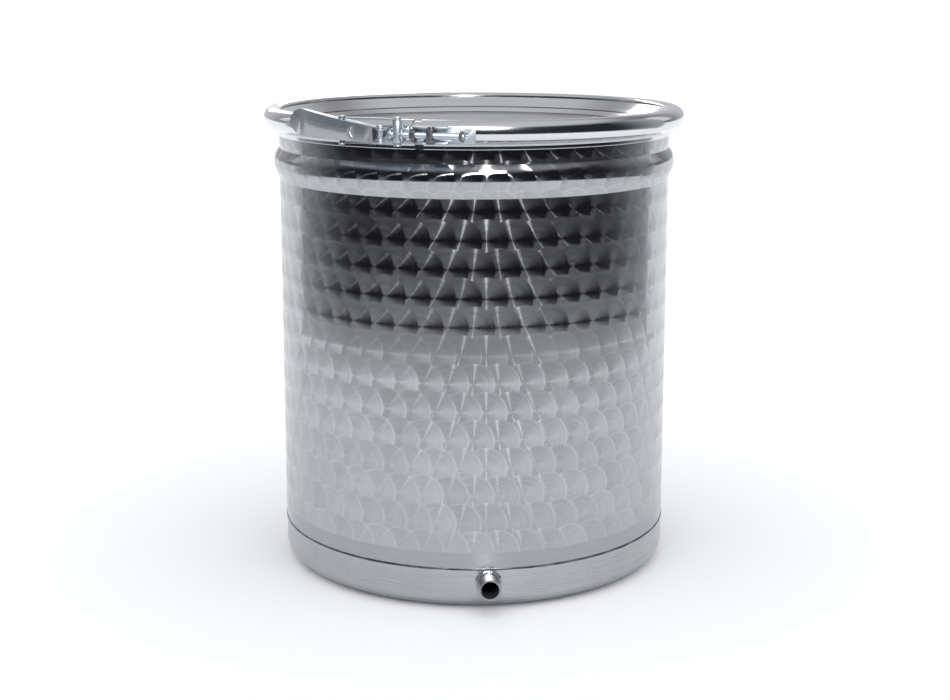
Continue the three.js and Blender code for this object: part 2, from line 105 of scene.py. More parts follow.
def mapRange(tree, value, low, high, newLow, newHigh, smooth=False):
    kind = "SMOOTHSTEP" if smooth else "LINEAR"
    made = addNode(tree, "MapRange", interpolation_type=kind)
    for index, item in enumerate((value, low, high, newLow, newHigh)):
        fill(tree, made.inputs[index], item)
    return made.outputs[0]


def noiseValue(tree, coordinate, scale, detail, roughness):
    made = addNode(tree, "TexNoise", {"Vector": coordinate, "Scale": scale,
                                      "Detail": detail, "Roughness": roughness})
    return made.outputs[0]


def stretched(tree, coordinate, scale):
    made = addNode(tree, "Mapping", {"Vector": coordinate, "Scale": scale})
    return made.outputs[0]


def startMaterial(name):
    material = bpy.data.materials.new(name)
    material.use_nodes = True
    tree = material.node_tree
    tree.nodes.clear()
    shader = addNode(tree, "BsdfPrincipled")
    addNode(tree, "OutputMaterial", {"Surface": shader.outputs[0]})
    return material, tree, shader


def objectPlace(tree):
    return addNode(tree, "TexCoord").outputs["Object"]


# the point's three coordinates, and its angle round the drum's axis from the outlet's side
def roundCoordinates(tree, place):
    parts = addNode(tree, "SeparateXYZ", {0: place}).outputs
    angle = calc(tree, "ARCTAN2", parts[0], calc(tree, "MULTIPLY", parts[1], -1.0))
    return parts, angle


def bumpNormal(tree, height, strength, distance, normal=None):
    inputs = {"Strength": strength, "Distance": distance, "Height": height}
    if normal:
        inputs["Normal"] = normal
    return addNode(tree, "Bump", inputs).outputs[0]


swirlFinish = {
    "columns": 52,
    "rowPitch": 25.8 * mm,
    "patchRadius": 19.4 * mm,
    "rowStart": 4.6 * mm,  # height of an even row's centres, less whole pitches
    "columnTurn": -0.395,  # whole pattern turned, in columns
    "lowEdge": 54.4 * mm,
    "colour": (0.50, 0.51, 0.53, 1),
    "darkColour": (0.38, 0.39, 0.41, 1),
    "bandColour": (0.36, 0.38, 0.41, 1),  # the plain band above the seam
    "edgeColour": (0.60, 0.61, 0.63, 1),
    "edgeWidth": 2.6 * mm,
    "edgeStrength": 0.34,
    "patchTone": (0.91, 1.02),  # darkest and lightest patch
    "lineStretch": (4.0, 4.0, 1000.0),  # of the scratches in the plain band
    "scratchScale": 1.6,
    "wideScale": 0.35,
    "cloudScale": 9.0,
    "roughness": 0.15,
    "roughnessSpread": 0.02,
    "anisotropy": 1.0,
    "bump": 0.1,
    "bumpDepth": 0.02 * mm,
}


def swirledSteelMaterial():
    look = swirlFinish
    material, tree, shader = startMaterial("swirledSteel")
    place = objectPlace(tree)
    parts, angle = roundCoordinates(tree, place)
    columnWidth = fullTurn * bodyR / look["columns"]
    radius = look["patchRadius"]
    across = calc(tree, "ADD", calc(tree, "MULTIPLY", angle, look["columns"] / fullTurn),
                  look["columnTurn"] + 2 * look["columns"])
    up = calc(tree, "DIVIDE", calc(tree, "SUBTRACT", parts[2], look["rowStart"]), look["rowPitch"])
    row = calc(tree, "FLOOR", up)
    rowShare = calc(tree, "SUBTRACT", up, row)
    oddRow = calc(tree, "MULTIPLY", calc(tree, "FLOORED_MODULO", row, 2.0), 0.5)

    # where the point lies between two circle centres of one row
    def inRow(offset, heightShare):
        moved = calc(tree, "SUBTRACT", across, offset)
        column = calc(tree, "FLOOR", moved)
        share = calc(tree, "SUBTRACT", moved, column)
        left = calc(tree, "MULTIPLY", share, columnWidth)
        right = calc(tree, "SUBTRACT", left, columnWidth)
        height = calc(tree, "MULTIPLY", heightShare, look["rowPitch"])
        heightSquare = calc(tree, "MULTIPLY", height, height)
        inside = []
        for reach in (left, right):
            square = calc(tree, "MULTIPLY_ADD", reach, reach, heightSquare)
            inside.append(calc(tree, "LESS_THAN", square, radius * radius))
        return column, left, right, height, inside

    lowColumn, lowLeft, lowRight, lowHeight, lowInside = inRow(oddRow, rowShare)
    highOffset = calc(tree, "SUBTRACT", 0.5, oddRow)
    highColumn, highLeft, highRight, highHeight, highInside = inRow(
        highOffset, calc(tree, "SUBTRACT", rowShare, 1.0))

    # a lower row lies over the one above it, and a left circle over its right neighbour
    inLow = calc(tree, "MAXIMUM", lowInside[0], lowInside[1])
    reachLow = choose(tree, lowInside[0], lowRight, lowLeft)
    reachHigh = choose(tree, highInside[0], highRight, highLeft)
    reach = choose(tree, inLow, reachHigh, reachLow)
    rise = choose(tree, inLow, highHeight, lowHeight)
    columnLow = calc(tree, "SUBTRACT", calc(tree, "ADD", lowColumn, 1.0), lowInside[0])
    columnHigh = calc(tree, "SUBTRACT", calc(tree, "ADD", highColumn, 1.0), highInside[0])
    cellColumn = choose(tree, inLow, columnHigh, columnLow)
    cellColumn = calc(tree, "FLOORED_MODULO", cellColumn, float(look["columns"]))
    cellRow = calc(tree, "SUBTRACT", calc(tree, "ADD", row, 1.0), inLow)
    cell = addNode(tree, "CombineXYZ", {0: cellColumn, 1: cellRow, 2: 0.5}).outputs[0]
    chance = addNode(tree, "TexWhiteNoise", {"Vector": cell}, noise_dimensions="3D")
    chanceParts = addNode(tree, "SeparateColor", {0: chance.outputs["Color"]}).outputs

    # distance from the circle's centre, and the direction straight away from it
    distance = calc(tree, "SQRT", calc(tree, "MULTIPLY_ADD", reach, reach,
                                       calc(tree, "MULTIPLY", rise, rise)))
    sideX = calc(tree, "MULTIPLY", calc(tree, "COSINE", angle), reach)
    sideY = calc(tree, "MULTIPLY", calc(tree, "SINE", angle), reach)
    away = addNode(tree, "CombineXYZ", {0: sideX, 1: sideY, 2: rise}).outputs[0]

    # the band under the pattern is brushed round the drum
    swirled = calc(tree, "GREATER_THAN", parts[2], look["lowEdge"])
    straight = addNode(tree, "CombineXYZ", {0: 0.0, 1: 0.0, 2: 1.0}).outputs[0]
    scaled = addNode(tree, "VectorMath", {0: away, "Scale": 1 / radius}, operation="SCALE")
    tangentMix = addNode(tree, "Mix", data_type="VECTOR")
    fill(tree, tangentMix.inputs[0], swirled)
    fill(tree, tangentMix.inputs[4], straight)
    fill(tree, tangentMix.inputs[5], scaled.outputs[0])

    # fine scratches: rings round each centre, or lines round the drum in the plain band
    ringPlace = addNode(tree, "CombineXYZ", {
        0: calc(tree, "MULTIPLY", distance, 1000.0),
        1: calc(tree, "MULTIPLY", chanceParts[0], 40.0),
        2: calc(tree, "MULTIPLY", calc(tree, "ARCTAN2", rise, reach), 0.6)}).outputs[0]
    linePlace = stretched(tree, place, look["lineStretch"])
    scratchPlace = addNode(tree, "Mix", data_type="VECTOR")
    fill(tree, scratchPlace.inputs[0], swirled)
    fill(tree, scratchPlace.inputs[4], linePlace)
    fill(tree, scratchPlace.inputs[5], ringPlace)
    scratches = noiseValue(tree, scratchPlace.outputs[1], look["scratchScale"], 4.0, 0.7)
    wide = noiseValue(tree, scratchPlace.outputs[1], look["wideScale"], 2.0, 0.5)
    cloudy = noiseValue(tree, place, look["cloudScale"], 3.0, 0.5)

    tone = mapRange(tree, scratches, 0.3, 0.7, 0.0, 1.0)
    colour = mixColour(tree, tone, look["darkColour"], look["colour"])
    perPatch = mapRange(tree, chanceParts[1], 0.0, 1.0, *look["patchTone"])
    patchColour = addNode(tree, "CombineXYZ", {0: perPatch, 1: perPatch, 2: perPatch}).outputs[0]
    bandColour = mixColour(tree, mapRange(tree, scratches, 0.3, 0.7, 0.4, 1.0), colour,
                           look["bandColour"])
    patchColour = mixColour(tree, 1.0, colour, patchColour, "MULTIPLY")
    colour = mixColour(tree, swirled, bandColour, patchColour)
    edge = calc(tree, "MULTIPLY", swirled,
                mapRange(tree, distance, radius - look["edgeWidth"], radius, 0.0,
                         look["edgeStrength"], True))
    colour = mixColour(tree, edge, colour, look["edgeColour"])
    spread = look["roughnessSpread"]
    roughness = calc(tree, "ADD", mapRange(tree, wide, 0.25, 0.75, look["roughness"] - spread,
                                           look["roughness"] + spread),
                     mapRange(tree, cloudy, 0.3, 0.7, -0.5 * spread, 0.75 * spread))
    roughness = calc(tree, "MULTIPLY_ADD", chanceParts[2], spread, roughness)
    fill(tree, shader.inputs["Base Color"], colour)
    fill(tree, shader.inputs["Roughness"], roughness)
    fill(tree, shader.inputs["Tangent"], tangentMix.outputs[1])
    normal = bumpNormal(tree, scratches, look["bump"], look["bumpDepth"])
    fill(tree, shader.inputs["Normal"], normal)
    shader.inputs["Metallic"].default_value = 1.0
    shader.inputs["Anisotropic"].default_value = look["anisotropy"]
    return material


brushedFinishes = {
    "plainSteel": {"colour": (0.50, 0.51, 0.53, 1), "worn": (0.38, 0.39, 0.41, 1),
                   "roughness": 0.26, "spread": 0.08, "lines": (3.0, 3.0, 420.0),
                   "anisotropy": 0.6, "bump": 0.12, "waves": 0.0},
    "polishedSteel": {"colour": (0.78, 0.79, 0.81, 1), "worn": (0.66, 0.67, 0.69, 1),
                      "roughness": 0.13, "spread": 0.07, "lines": (6.0, 6.0, 300.0),
                      "anisotropy": 0.3, "bump": 0.05, "waves": 0.4,
                      # colour of the painted shade along the lid's creases
                      "creaseShade": (0.05, 0.05, 0.06, 1)},
    "outletSteel": {"colour": (0.42, 0.43, 0.45, 1), "worn": (0.25, 0.26, 0.28, 1),
                    "roughness": 0.3, "spread": 0.1, "lines": (6.0, 300.0, 6.0),
                    "anisotropy": 0.0, "bump": 0.1, "waves": 0.0},
}


brushedScales = {
    "clouds": 14.0,
    "scuffs": (60.0, 60.0, 240.0),
    "waves": (26.0, 26.0, 40.0),
    "lineDepth": 0.04 * mm,
    "waveDepth": 0.4 * mm,
    # widths and strength of the painted shade along each crease
    "creaseCore": 0.2 * mm,  # half the width of the darkest part of a crease's painted shade
    "creaseWidth": 0.9 * mm,  # half the width of all of it
    "creaseShadeStrength": 0.85,
}


# steel that was rolled or polished round the axis: fine lines, clouds and a few scuffs,
# with a line of painted shade at the height of each crease
def brushedSteelMaterial(name, look, creases=()):
    material, tree, shader = startMaterial(name)
    place = objectPlace(tree)
    scales = brushedScales
    lines = noiseValue(tree, stretched(tree, place, look["lines"]), 1.0, 5.0, 0.65)
    clouds = noiseValue(tree, place, scales["clouds"], 4.0, 0.6)
    scuffs = noiseValue(tree, stretched(tree, place, scales["scuffs"]), 1.0, 6.0, 0.75)
    scuffed = mapRange(tree, scuffs, 0.62, 0.72, 0.0, 1.0)
    tone = calc(tree, "MULTIPLY", mapRange(tree, lines, 0.25, 0.75, 0.0, 1.0), 0.7)
    tone = calc(tree, "ADD", tone, mapRange(tree, clouds, 0.35, 0.65, 0.0, 0.3))
    colour = mixColour(tree, tone, look["worn"], look["colour"])
    colour = mixColour(tree, calc(tree, "MULTIPLY", scuffed, 0.3), colour, look["worn"])
    height = addNode(tree, "SeparateXYZ", {0: place}).outputs[2]
    # painted shade: a dark line along each crease, broken up by the clouds
    for crease in creases:
        off = calc(tree, "ABSOLUTE", calc(tree, "SUBTRACT", height, crease))
        creaseShade = mapRange(tree, off, scales["creaseCore"], scales["creaseWidth"],
                        scales["creaseShadeStrength"], 0.0, True)
        creaseShade = calc(tree, "MULTIPLY", creaseShade, mapRange(tree, clouds, 0.3, 0.55, 0.5, 1.0))
        colour = mixColour(tree, creaseShade, colour, look["creaseShade"])
    low, high = look["roughness"] - look["spread"] / 2, look["roughness"] + look["spread"]
    roughness = mapRange(tree, lines, 0.25, 0.75, low, high)
    roughness = calc(tree, "MULTIPLY_ADD", scuffed, 0.1, roughness)
    normal = bumpNormal(tree, lines, look["bump"], scales["lineDepth"])
    if look["waves"]:
        waves = noiseValue(tree, stretched(tree, place, scales["waves"]), 1.0, 1.0, 0.4)
        normal = bumpNormal(tree, waves, look["waves"], scales["waveDepth"], normal)
    tangent = addNode(tree, "Tangent", direction_type="RADIAL", axis="Z").outputs[0]
    fill(tree, shader.inputs["Base Color"], colour)
    fill(tree, shader.inputs["Roughness"], roughness)
    fill(tree, shader.inputs["Normal"], normal)
    fill(tree, shader.inputs["Tangent"], tangent)
    shader.inputs["Metallic"].default_value = 1.0
    shader.inputs["Anisotropic"].default_value = look["anisotropy"]
    shader.inputs["Anisotropic Rotation"].default_value = 0.25
    return material


platedFinishes = {
    "platedSteel": {"colour": (0.56, 0.62, 0.68, 1), "bare": (0.70, 0.73, 0.76, 1),
                    "stain": (0.42, 0.48, 0.54, 1), "roughness": 0.4, "grain": 0.25},
    "darkPlated": {"colour": (0.17, 0.19, 0.21, 1), "bare": (0.45, 0.46, 0.47, 1),
                   "stain": (0.08, 0.085, 0.09, 1), "roughness": 0.38, "grain": 0.3},
}


platedScales = {"clouds": 90.0, "grain": 900.0, "streaks": (260.0, 260.0, 2600.0),
                "grainDepth": 0.05 * mm}


# zinc plate: clouded, a little grainy, worn bright along the edges
def platedSteelMaterial(name, look):
    material, tree, shader = startMaterial(name)
    place = objectPlace(tree)
    scales = platedScales
    clouds = noiseValue(tree, place, scales["clouds"], 4.0, 0.6)
    grain = noiseValue(tree, place, scales["grain"], 3.0, 0.6)
    streaks = noiseValue(tree, stretched(tree, place, scales["streaks"]), 1.0, 3.0, 0.6)
    clouded = mapRange(tree, clouds, 0.35, 0.65, 0.0, 1.0)
    colour = mixColour(tree, clouded, look["stain"], look["colour"])
    edges = addNode(tree, "NewGeometry").outputs["Pointiness"]
    worn = calc(tree, "MULTIPLY", mapRange(tree, edges, 0.52, 0.62, 0.0, 1.0),
                mapRange(tree, streaks, 0.3, 0.6, 0.4, 1.0))
    colour = mixColour(tree, worn, colour, look["bare"])
    roughness = mapRange(tree, clouds, 0.3, 0.7, look["roughness"] + 0.08,
                         look["roughness"] - 0.05)
    roughness = calc(tree, "MULTIPLY_ADD", streaks, 0.08, roughness)
    fill(tree, shader.inputs["Base Color"], colour)
    fill(tree, shader.inputs["Roughness"], roughness)
    fill(tree, shader.inputs["Normal"], bumpNormal(tree, grain, look["grain"],
                                               scales["grainDepth"]))
    shader.inputs["Metallic"].default_value = 1.0
    return material


weldFinish = {"colour": (0.20, 0.21, 0.23, 1), "tint": (0.04, 0.05, 0.065, 1), "roughness": 0.42,
              "rippleScale": 650.0, "patchScale": 70.0, "bump": 0.6, "bumpDepth": 0.2 * mm}


def weldMaterial():
    look = weldFinish
    material, tree, shader = startMaterial("weldedSteel")
    place = objectPlace(tree)
    ripples = noiseValue(tree, place, look["rippleScale"], 3.0, 0.6)
    patches = noiseValue(tree, place, look["patchScale"], 3.0, 0.6)
    tinted = mapRange(tree, patches, 0.35, 0.65, 0.0, 1.0)
    roughness = mapRange(tree, ripples, 0.3, 0.7, look["roughness"] - 0.1,
                         look["roughness"] + 0.15)
    fill(tree, shader.inputs["Base Color"], mixColour(tree, tinted, look["tint"], look["colour"]))
    fill(tree, shader.inputs["Roughness"], roughness)
    fill(tree, shader.inputs["Normal"], bumpNormal(tree, ripples, look["bump"], look["bumpDepth"]))
    shader.inputs["Metallic"].default_value = 1.0
    return material


rubberFinish = {"colour": (0.70, 0.69, 0.66, 1), "dusty": (0.80, 0.79, 0.77, 1),
                "roughness": 0.62, "dustScale": 60.0, "grainScale": 1500.0, "bump": 0.3,
                "bumpDepth": 0.05 * mm}


def rubberMaterial():
    look = rubberFinish
    material, tree, shader = startMaterial("gasketRubber")
    place = objectPlace(tree)
    dust = noiseValue(tree, place, look["dustScale"], 4.0, 0.6)
    grain = noiseValue(tree, place, look["grainScale"], 2.0, 0.5)
    dusted = mapRange(tree, dust, 0.4, 0.65, 0.0, 1.0)
    roughness = mapRange(tree, dust, 0.3, 0.7, look["roughness"] - 0.08, look["roughness"] + 0.12)
    fill(tree, shader.inputs["Base Color"], mixColour(tree, dusted, look["colour"], look["dusty"]))
    fill(tree, shader.inputs["Roughness"], roughness)
    fill(tree, shader.inputs["Normal"], bumpNormal(tree, grain, look["bump"], look["bumpDepth"]))
    shader.inputs["Specular IOR Level"].default_value = 0.4
    return material


swirledSteel = swirledSteelMaterial()
plainSteel = brushedSteelMaterial("plainSteel", brushedFinishes["plainSteel"])
outletSteel = brushedSteelMaterial("outletSteel", brushedFinishes["outletSteel"])
polishedSteel = brushedSteelMaterial("polishedSteel", brushedFinishes["polishedSteel"])
lidCreases = (panelZ + 0.9 * mm, panelZ + 5.9 * mm)  # heights of the painted crease shade: at the panel's edge and the wall's foot
lidSteel = brushedSteelMaterial("lidSteel", brushedFinishes["polishedSteel"], lidCreases)
platedSteel = platedSteelMaterial("platedSteel", platedFinishes["platedSteel"])
darkPlated = platedSteelMaterial("darkPlated", platedFinishes["darkPlated"])
weldedSteel = weldMaterial()
gasketRubber = rubberMaterial()
print("materials made")


# shaping helpers

def linkMesh(name, bm):
    mesh = bpy.data.meshes.new(name)
    bm.to_mesh(mesh)
    bm.free()
    thing = bpy.data.objects.new(name, mesh)
    bpy.context.scene.collection.objects.link(thing)
    return thing


def newPiece(name, bm, body, material, nodes=(), smoothAngle=35):
    piece = linkMesh(name, bm)
    mesh = piece.data
    mesh.shade_smooth()
    mesh.set_sharp_from_angle(angle=math.radians(smoothAngle))
    mesh.materials.append(material)
    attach(piece, body)
    if nodes:
        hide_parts(*nodes)
    return piece


holdLength = 0.5 * mm
longEdge = 8 * holdLength


# an edge; a long one is cut close to both ends, so that a bend beside it doesn't shade it
def drawLine(bm, start, end):
    reach = end.co - start.co
    places = []
    if reach.length > longEdge:
        step = reach.normalized() * holdLength
        places = [start.co + step, end.co - step]
    for place in places:
        middle = bm.verts.new(place)
        bm.edges.new((start, middle))
        start = middle
    bm.edges.new((start, end))


# a section of (radius, height) corners; ("arc", radius, height, degrees, steps) turns
# the last corner about that centre
def drawSection(bm, steps, closed=True):
    first = last = bm.verts.new((steps[0][0], 0, steps[0][1]))
    for step in steps[1:]:
        if step[0] == "arc":
            spun = bmesh.ops.spin(bm, geom=[last], cent=(step[1], 0, step[2]), axis=(0, -1, 0),
                                  angle=math.radians(step[3]), steps=step[4])
            last = [part for part in spun["geom_last"] if isinstance(part, bmesh.types.BMVert)][0]
        else:
            corner = bm.verts.new((step[0], 0, step[1]))
            drawLine(bm, last, corner)
            last = corner
    if closed:
        drawLine(bm, last, first)


def tidyMesh(bm, distance=1e-6):
    bmesh.ops.remove_doubles(bm, verts=bm.verts[:], dist=distance)
    bmesh.ops.recalc_face_normals(bm, faces=bm.faces[:])


def turnRound(bm, count=roundSteps):
    bmesh.ops.spin(bm, geom=bm.verts[:] + bm.edges[:], cent=(0, 0, 0), axis=(0, 0, 1),
                   angle=fullTurn, steps=count, use_merge=True)
    tidyMesh(bm)


def turnSection(steps, closed=True):
    bm = bmesh.new()
    drawSection(bm, steps, closed)
    turnRound(bm)
    return bm


# the (radius, height) corner on a circle of the section
def onCircle(radius, centre, degrees):
    turn = math.radians(degrees)
    return (centre[0] + radius * math.cos(turn), centre[1] + radius * math.sin(turn))


# drum wall, with its bead and rolled rim

wall = {
    "sheet": 0.8 * mm,
    "beadHeight": 5 * mm,
    "beadBelowRim": 34 * mm,
    "beadLower": 19 * mm,
    "beadUpper": 11 * mm,
    "flankSteps": 12,
    "rollEdge": -147,  # degrees round the roll, where its edge is
    "rollSteps": 40,
}


def beadPoints(radius):
    crest = rimZ - wall["beadBelowRim"]
    steps = wall["flankSteps"]
    points = []
    for index in range(steps):
        share = index / steps
        points.append((radius + wall["beadHeight"] * math.sin(share * math.pi / 2),
                       crest - wall["beadLower"] * (1 - share)))
    for index in range(steps + 1):
        share = 1 - index / steps
        points.append((radius + wall["beadHeight"] * math.sin(share * math.pi / 2),
                       crest + wall["beadUpper"] * (1 - share)))
    return points


def makeDrumWall():
    sheet, roll = wall["sheet"], rimRadius
    rollCentre = (bodyR - sheet + roll, rimZ)
    sweep = 180 - wall["rollEdge"]
    inside = [(bodyR - sheet, seamZ + seamGap)] + beadPoints(bodyR - sheet)
    outside = beadPoints(bodyR)[::-1] + [(bodyR, seamZ + seamGap)]
    edge = onCircle(roll - sheet, rollCentre, wall["rollEdge"])
    steps = inside + [(bodyR - sheet, rimZ), ("arc", *rollCentre, -sweep, wall["rollSteps"]), edge,
                      ("arc", *rollCentre, sweep, wall["rollSteps"])] + outside
    newPiece("drum_wall", turnSection(steps), "drum", swirledSteel,
             ["drum_shell"])


makeDrumWall()
print("drum wall made")


# bottom pan, pressed with a rounded corner and lapped over the wall's foot

pan = {
    "corner": 16 * mm,
    "sheet": 1.0 * mm,
    "cornerSteps": 16,
    "lapDepth": 0.25 * mm,
    "lapHeight": 6.1 * mm,
    "holeRadius": 10.6 * mm,
}


def makeBottomPan():
    corner, sheet, lap = pan["corner"], pan["sheet"], pan["lapDepth"]
    lapZ = seamZ - pan["lapHeight"]
    centre = (bodyR - lap - corner, corner)
    steps = [
        (0, 0), (centre[0], 0), ("arc", *centre, 90, pan["cornerSteps"]),
        (bodyR - lap, lapZ - lap), (bodyR, lapZ + lap), (bodyR, seamZ - seamGap),
        (bodyR - sheet, seamZ - seamGap), (bodyR - sheet, corner),
        ("arc", bodyR - corner, corner, -90, pan["cornerSteps"]), (0, sheet),
    ]
    piece = newPiece("pan", turnSection(steps, closed=False), "drum", plainSteel,
                     ["bottom_pan"])
    drill = bmesh.new()
    bmesh.ops.create_cone(drill, cap_ends=True, segments=smallSteps, radius1=pan["holeRadius"],
                          radius2=pan["holeRadius"], depth=4 * corner)
    bmesh.ops.rotate(drill, verts=drill.verts[:], matrix=Matrix.Rotation(math.pi / 2, 3, "X"))
    bmesh.ops.translate(drill, verts=drill.verts[:], vec=(0, -bodyR, outletZ))
    cutWith(piece, drill)


# takes the cutter's shape out of the piece, and leaves no modifier behind
def cutWith(piece, cutter):
    tool = linkMesh("cutter", cutter)
    mesh = tool.data
    modifier = piece.modifiers.new("hole", "BOOLEAN")
    modifier.operation = "DIFFERENCE"
    modifier.object = tool
    modifier.solver = "EXACT"
    graph = bpy.context.evaluated_depsgraph_get()
    cut = bpy.data.meshes.new_from_object(piece.evaluated_get(graph))
    piece.modifiers.clear()
    piece.data = cut
    bpy.data.objects.remove(tool)
    bpy.data.meshes.remove(mesh)


makeBottomPan()
print("pan made")


# welds: round the drum at the seam, and round the outlet

weld = {
    "seamWidth": 2.1 * mm,
    "seamHeight": 0.35 * mm,
    "seamRoot": 0.3 * mm,  # under the wall's face
    "seamToe": 0.05 * mm,
    "outletBead": 1.3 * mm,
    "beadSegments": 12,
    "outletRadius": 11.0 * mm,
    "roughness": 0.22 * mm,
    "coarse": 320,  # noise scales along the seam
    "fine": 900,
    "fineShare": 0.6,
    "outwardLimit": 0.15 * mm,
    "outwardShare": 0.4,
    "outletNoise": 420,
    "outletShare": 0.4,
    "steps": 720,
}


def makeSeamWeld():
    bm = bmesh.new()
    half = weld["seamWidth"] / 2
    root, toe, outer = bodyR - weld["seamRoot"], bodyR + weld["seamToe"], bodyR + weld["seamHeight"]
    drawSection(bm, [(root, seamZ - half), (toe, seamZ - half), (outer, seamZ - half / 2),
                     (outer, seamZ + half / 2), (toe, seamZ + half), (root, seamZ + half)])
    turnRound(bm, weld["steps"])
    for vert in bm.verts:
        if vert.co.xy.length > bodyR:
            shake = noise.noise(vert.co * weld["coarse"])
            shake += weld["fineShare"] * noise.noise(vert.co * weld["fine"])
            vert.co.z += shake * weld["roughness"]
            away = Vector((vert.co.x, vert.co.y, 0)).normalized()
            outward = abs(shake) * weld["outwardShare"] * weld["roughness"]
            vert.co += away * min(weld["outwardLimit"], outward)
    newPiece("seam_weld", bm, "drum", weldedSteel, smoothAngle=60)


def makeOutletWeld():
    bm = bmesh.new()
    bead = weld["outletBead"]
    section = bmesh.ops.create_circle(bm, segments=weld["beadSegments"], radius=bead)
    bmesh.ops.rotate(bm, verts=section["verts"], matrix=Matrix.Rotation(math.pi / 2, 3, "X"))
    bmesh.ops.translate(bm, verts=section["verts"], vec=(weld["outletRadius"], 0, 0))
    turnRound(bm, 3 * smallSteps)
    for vert in bm.verts:
        away = Vector((vert.co.x, vert.co.y, 0)).normalized() * weld["outletRadius"]
        swell = weld["outletShare"] * noise.noise(vert.co * weld["outletNoise"])
        vert.co += (vert.co - away) * swell
    bmesh.ops.rotate(bm, verts=bm.verts[:], matrix=Matrix.Rotation(math.pi / 2, 3, "X"))
    bmesh.ops.translate(bm, verts=bm.verts[:], vec=(0, -bodyR, outletZ))
    newPiece("outlet_weld", bm, "drum", plainSteel, smoothAngle=60)


makeSeamWeld()
makeOutletWeld()


# one pitch of thread: how far out it is, from core to crest, at each share of the pitch
threadShape = ((0, 0.0), (0, 0.1), (1, 0.42), (1, 0.58), (0, 0.9), (0, 1.0))


# a bar along Z with a helical thread, from z = 0 up, cut square at both ends
def threadedBar(bm, crest, core, pitch, length, count):
    turns = math.ceil(length / pitch) + 2
    low = -pitch
    corners = []
    for out, share in threadShape:
        corners.append(bm.verts.new((crest if out else core, 0, low + share * pitch)))
    for corner, following in zip(corners, corners[1:]):
        bm.edges.new((corner, following))
    bmesh.ops.spin(bm, geom=bm.verts[:] + bm.edges[:], cent=(0, 0, 0), axis=(0, 0, 1),
                   dvec=(0, 0, pitch / count), angle=fullTurn * turns, steps=count * turns)
    bmesh.ops.remove_doubles(bm, verts=bm.verts[:], dist=pitch / 200)
    for height, side in ((0, -1), (length, 1)):
        bmesh.ops.bisect_plane(bm, geom=bm.verts[:] + bm.edges[:] + bm.faces[:],
                               plane_co=(0, 0, height), plane_no=(0, 0, side), clear_outer=True)
    ends = []
    for height in (0, length):
        ends.append([edge for edge in bm.edges if edge.is_boundary
                     and all(abs(vert.co.z - height) < pitch / 50 for vert in edge.verts)])
    return ends


# new ring of vertices beyond an open end, at one radius and height
def addRing(bm, edges, radius, height):
    made = bmesh.ops.extrude_edge_only(bm, edges=edges)["geom"]
    for part in made:
        if isinstance(part, bmesh.types.BMVert):
            flat = part.co.xy.normalized() * radius
            part.co = (flat.x, flat.y, height)
    return [part for part in made if isinstance(part, bmesh.types.BMEdge) and part.is_boundary]


outlet = {
    "bore": 16 * mm,
    "thread": 20.96 * mm,
    "core": 18.63 * mm,
    "pitch": 1.814 * mm,
    "threadStart": 4 * mm,  # from the drum's wall
    "inside": 3 * mm,
    "lip": 0.5 * mm,
    "chamfer": 0.3 * mm,
}


def makeOutlet():
    bm = bmesh.new()
    start = -outletTipY - bodyR - outlet["threadStart"]  # length of the thread
    lip, bore, chamfer = outlet["lip"], outlet["bore"] / 2, outlet["chamfer"]
    crest, core = outlet["thread"] / 2, outlet["core"] / 2
    back, front = threadedBar(bm, crest, core, outlet["pitch"], start - lip, 2 * smallSteps)
    foot = -(outlet["threadStart"] + outlet["inside"])
    back = addRing(bm, back, crest, 0)
    back = addRing(bm, back, crest, foot)
    back = addRing(bm, back, bore, foot)
    front = addRing(bm, front, core, start - lip)
    front = addRing(bm, front, core - chamfer, start)
    front = addRing(bm, front, bore + chamfer, start)
    front = addRing(bm, front, bore, start - lip)
    bmesh.ops.bridge_loops(bm, edges=back + front)
    tidyMesh(bm)
    bmesh.ops.rotate(bm, verts=bm.verts[:], matrix=Matrix.Rotation(math.pi / 2, 3, "X"))
    bmesh.ops.translate(bm, verts=bm.verts[:], vec=(0, -bodyR - outlet["threadStart"], outletZ))
    newPiece("outlet", bm, "drum", outletSteel, ["outlet_nipple"], 50)


makeOutlet()
print("outlet made")


# lid: flat panel, step, sloping wall and an arch over the rim

lid = {
    "sheet": lidSheet,
    "archCentre": (bodyR + rimRadius, rimZ + 6 * mm),
    "archRadius": 8.6 * mm,
    "archEnd": 130,
    "archSteps": 28,
    "wallFoot": 173.5 * mm,
    "panelRadius": 163 * mm,
    "step": 5.8 * mm,
    "cornerBend": 1.6 * mm,
    "bendSteps": 6,
}


def makeLid():
    sheet, radius = lid["sheet"], lid["archRadius"]
    centre = lid["archCentre"]
    footZ = panelZ + lid["step"]
    start = onCircle(radius, centre, 0)
    innerEnd = onCircle(radius - sheet, centre, lid["archEnd"])
    steps = [
        start, ("arc", *centre, lid["archEnd"], lid["archSteps"]),
        (lid["wallFoot"], footZ), (lid["panelRadius"] + sheet, panelZ), (0, panelZ),
    ]
    under = [
        (0, panelZ - sheet), (lid["panelRadius"], panelZ - sheet),
        (lid["wallFoot"] + sheet / 2, footZ - sheet),
        innerEnd, ("arc", *centre, -lid["archEnd"], lid["archSteps"]),
    ]
    bm = bmesh.new()
    drawSection(bm, steps, closed=False)
    drawSection(bm, under, closed=False)
    bm.verts.ensure_lookup_table()
    rounded = []
    for vert in bm.verts:
        onFoot = abs(vert.co.x - lid["wallFoot"]) < sheet and vert.co.z < footZ + sheet
        if onFoot or abs(vert.co.x - lid["panelRadius"]) < 2 * sheet:
            rounded.append(vert)
    bmesh.ops.bevel(bm, geom=rounded, offset=lid["cornerBend"], segments=lid["bendSteps"],
                    profile=0.5, affect="VERTICES", material=-1)
    ends = [vert for vert in bm.verts if len(vert.link_edges) == 1 and vert.co.x > bodyR]
    bm.edges.new(ends)
    turnRound(bm)
    newPiece("lid_pressing", bm, "cover", lidSteel, ["lid"])


gasket = {"gap": 0.4 * mm, "innerEdge": 0.8 * mm, "steps": 20}


